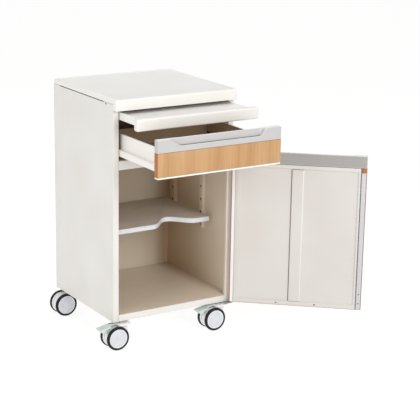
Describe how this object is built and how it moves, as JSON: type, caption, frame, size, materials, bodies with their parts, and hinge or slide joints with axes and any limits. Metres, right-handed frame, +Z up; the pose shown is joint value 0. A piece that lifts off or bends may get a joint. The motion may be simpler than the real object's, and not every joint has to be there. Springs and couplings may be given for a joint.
{
  "type": "hospital bedside cabinet",
  "caption": "Wheeled bedside cabinet: steel body, moulded top, pull-out tray, drawer, hinged door over a shelved cupboard, swivel casters with foot brakes.",
  "frame": {"origin": "on the floor, under the middle of the cabinet's body", "axes": "+Z up, -Y towards the front, +X towards the hinge side of the door"},
  "size_m": [0.8335, 0.731, 0.83],
  "materials": {
    "body_paint": "semi-gloss cream powder coat",
    "white_moulding": "satin moulded plastic",
    "wood_front": "straight-grained light wood laminate",
    "handle_grey": "fine matt grey moulding",
    "shelf_board": "matt warm grey laminate",
    "shelf_lipping": "smooth pale edge band",
    "bright_steel": "zinc plated",
    "caster_shell": "satin white nylon",
    "caster_wheel": "dark tread on a pale hub",
    "brake_pedal": "pale grey-green nylon"
  },
  "bodies": {
    "cabinet": {"side_panel_left": "body_paint", "side_panel_right": "body_paint", "back_panel": "body_paint", "base_panel": "body_paint", "divider_panel": "body_paint", "top_frame": "body_paint", "top_cover": "white_moulding", "tray_runner_left": "body_paint", "tray_runner_right": "body_paint", "drawer_slide_left": "bright_steel", "drawer_slide_right": "bright_steel", "shelf_board": "shelf_board", "shelf_lipping": "shelf_lipping", "shelf_upright_front_left": "body_paint", "shelf_clip_front_left": "bright_steel", "shelf_upright_front_right": "body_paint", "shelf_clip_front_right": "bright_steel", "shelf_upright_rear_left": "body_paint", "shelf_clip_rear_left": "bright_steel", "shelf_upright_rear_right": "body_paint", "shelf_clip_rear_right": "bright_steel", "hinge_bracket_upper": "bright_steel", "hinge_bracket_lower": "bright_steel", "front_left_stem": "bright_steel", "front_right_stem": "bright_steel", "rear_left_stem": "bright_steel", "rear_right_stem": "bright_steel"},
    "tray": {"tray": "white_moulding"},
    "drawer": {"drawer_front": "wood_front", "drawer_handle": "handle_grey", "drawer_edge_strip": "white_moulding", "drawer_side_left": "body_paint", "drawer_side_right": "body_paint", "drawer_bottom": "body_paint", "drawer_back": "body_paint"},
    "door": {"door_front": "wood_front", "door_handle": "handle_grey", "door_pan": "body_paint", "door_stiffener": "body_paint", "door_edge_strip": "white_moulding", "hinge_pin_upper": "bright_steel", "hinge_pin_lower": "bright_steel"},
    "front_left_caster": {"front_left_housing": "caster_shell", "front_left_axle": "bright_steel"},
    "front_left_wheel_a": {"front_left_wheel_a": "caster_wheel"},
    "front_left_wheel_b": {"front_left_wheel_b": "caster_wheel"},
    "front_left_pedal": {"front_left_pedal": "brake_pedal"},
    "front_right_caster": {"front_right_housing": "caster_shell", "front_right_axle": "bright_steel"},
    "front_right_wheel_a": {"front_right_wheel_a": "caster_wheel"},
    "front_right_wheel_b": {"front_right_wheel_b": "caster_wheel"},
    "front_right_pedal": {"front_right_pedal": "brake_pedal"},
    "rear_left_caster": {"rear_left_housing": "caster_shell", "rear_left_axle": "bright_steel"},
    "rear_left_wheel_a": {"rear_left_wheel_a": "caster_wheel"},
    "rear_left_wheel_b": {"rear_left_wheel_b": "caster_wheel"},
    "rear_right_caster": {"rear_right_housing": "caster_shell", "rear_right_axle": "bright_steel"},
    "rear_right_wheel_a": {"rear_right_wheel_a": "caster_wheel"},
    "rear_right_wheel_b": {"rear_right_wheel_b": "caster_wheel"}
  },
  "joints": [
    {"name": "tray_slide", "type": "slide", "parent": "cabinet", "child": "tray", "axis": [0, -1, 0], "range_m": [-0.13, 0.12]},
    {"name": "drawer_slide", "type": "slide", "parent": "cabinet", "child": "drawer", "axis": [0, -1, 0], "range_m": [-0.254, 0.03]},
    {"name": "door_hinge", "type": "hinge", "parent": "cabinet", "child": "door", "pos_m": [0.2191, -0.2133, 0.36], "axis": [0, 0, 1], "range_deg": [-139.3, 30]},
    {"name": "front_left_swivel", "type": "hinge", "parent": "cabinet", "child": "front_left_caster", "pos_m": [-0.187, -0.189, 0.08], "axis": [0, 0, 1], "continuous": true},
    {"name": "front_left_wheel_a_spin", "type": "hinge", "parent": "front_left_caster", "child": "front_left_wheel_a", "pos_m": [-0.215, -0.20675, 0.04], "axis": [0, 1, 0], "continuous": true},
    {"name": "front_left_wheel_b_spin", "type": "hinge", "parent": "front_left_caster", "child": "front_left_wheel_b", "pos_m": [-0.215, -0.17125, 0.04], "axis": [0, 1, 0], "continuous": true},
    {"name": "front_left_brake", "type": "hinge", "parent": "front_left_caster", "child": "front_left_pedal", "pos_m": [-0.2135, -0.189, 0.0845], "axis": [0, -1, 0], "range_deg": [0, 10]},
    {"name": "front_right_swivel", "type": "hinge", "parent": "cabinet", "child": "front_right_caster", "pos_m": [0.187, -0.189, 0.08], "axis": [0, 0, 1], "continuous": true},
    {"name": "front_right_wheel_a_spin", "type": "hinge", "parent": "front_right_caster", "child": "front_right_wheel_a", "pos_m": [0.159, -0.20675, 0.04], "axis": [0, 1, 0], "continuous": true},
    {"name": "front_right_wheel_b_spin", "type": "hinge", "parent": "front_right_caster", "child": "front_right_wheel_b", "pos_m": [0.159, -0.17125, 0.04], "axis": [0, 1, 0], "continuous": true},
    {"name": "front_right_brake", "type": "hinge", "parent": "front_right_caster", "child": "front_right_pedal", "pos_m": [0.1605, -0.189, 0.0845], "axis": [0, -1, 0], "range_deg": [0, 10]},
    {"name": "rear_left_swivel", "type": "hinge", "parent": "cabinet", "child": "rear_left_caster", "pos_m": [-0.187, 0.189, 0.08], "axis": [0, 0, 1], "continuous": true},
    {"name": "rear_left_wheel_a_spin", "type": "hinge", "parent": "rear_left_caster", "child": "rear_left_wheel_a", "pos_m": [-0.215, 0.17125, 0.04], "axis": [0, 1, 0], "continuous": true},
    {"name": "rear_left_wheel_b_spin", "type": "hinge", "parent": "rear_left_caster", "child": "rear_left_wheel_b", "pos_m": [-0.215, 0.20675, 0.04], "axis": [0, 1, 0], "continuous": true},
    {"name": "rear_right_swivel", "type": "hinge", "parent": "cabinet", "child": "rear_right_caster", "pos_m": [0.187, 0.189, 0.08], "axis": [0, 0, 1], "continuous": true},
    {"name": "rear_right_wheel_a_spin", "type": "hinge", "parent": "rear_right_caster", "child": "rear_right_wheel_a", "pos_m": [0.159, 0.17125, 0.04], "axis": [0, 1, 0], "continuous": true},
    {"name": "rear_right_wheel_b_spin", "type": "hinge", "parent": "rear_right_caster", "child": "rear_right_wheel_b", "pos_m": [0.159, 0.20675, 0.04], "axis": [0, 1, 0], "continuous": true}
  ]
}
